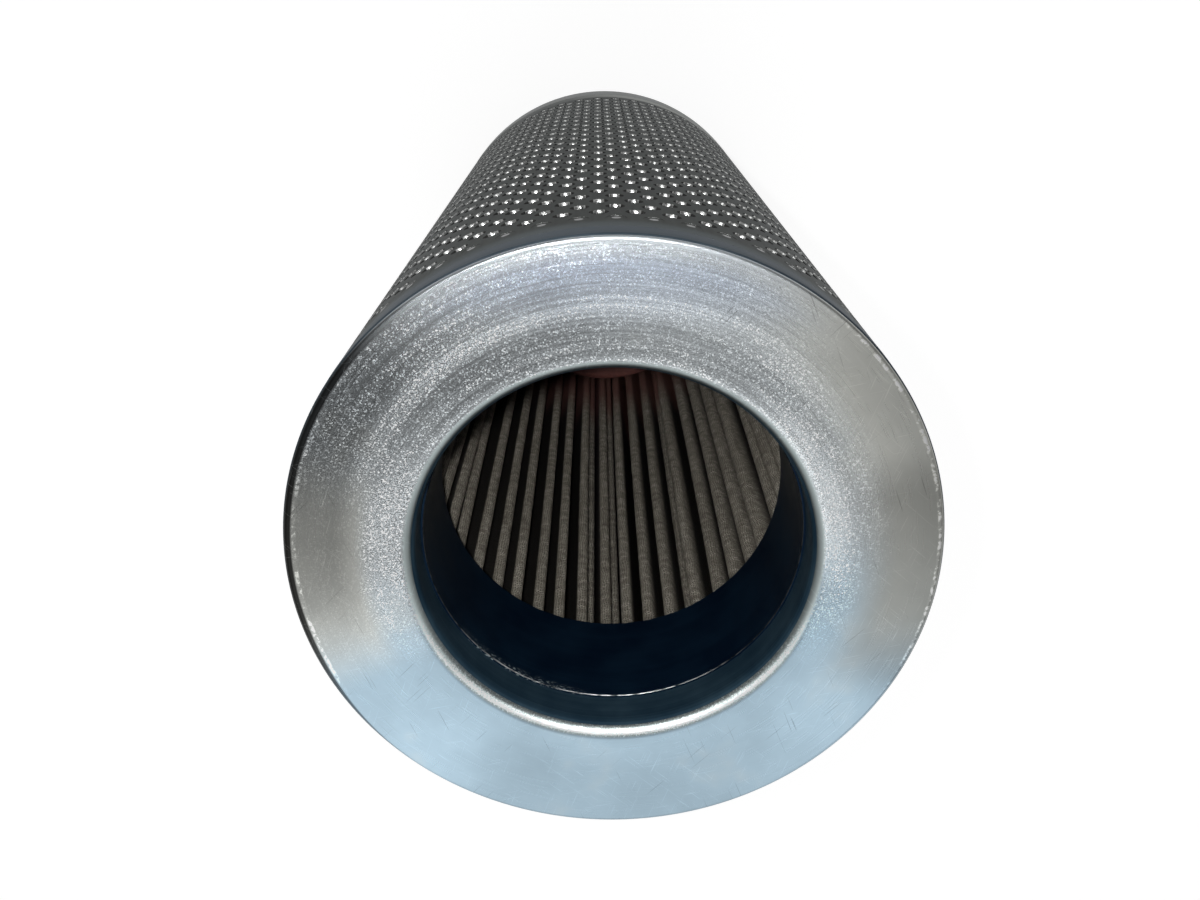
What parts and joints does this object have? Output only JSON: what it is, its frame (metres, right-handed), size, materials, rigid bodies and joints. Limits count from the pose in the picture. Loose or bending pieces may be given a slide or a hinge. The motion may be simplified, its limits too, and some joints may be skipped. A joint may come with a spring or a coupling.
{
  "type": "hydraulic filter element",
  "caption": "Tubular hydraulic filter element with a perforated steel tube, a pleated wire mesh pack, zinc-plated end caps and an open bore at one end.",
  "frame": {"origin": "middle of the closed end's flat face, which the element stands on", "axes": "+Z along the axis, from the closed end to the open bore; +Y is the side of the pleated pack's seam"},
  "size_m": [0.15, 0.15, 0.328],
  "materials": {
    "zinc_plate": "bright zinc plate, brushed round the axis and mottled",
    "dark_steel": "smooth dark steel with a blue sheen",
    "red_primer": "dull red-brown",
    "tube_steel": "dull dark grey steel, bright at the holes' sheared edges",
    "wire_cloth": "brown-grey woven wire",
    "filter_fibre": "matt white fibre",
    "adhesive": "cured adhesive"
  },
  "bodies": {
    "root": {"front_end_cap": "zinc_plate", "rear_end_cap": "zinc_plate", "front_sleeve": "dark_steel", "rear_cup": "red_primer", "perforated_tube": "tube_steel", "inner_support_mesh": "wire_cloth", "filter_medium": "filter_fibre", "outer_support_mesh": "wire_cloth", "seam_clip": "tube_steel", "front_potting": "adhesive", "rear_potting": "adhesive"}
  },
  "joints": []
}
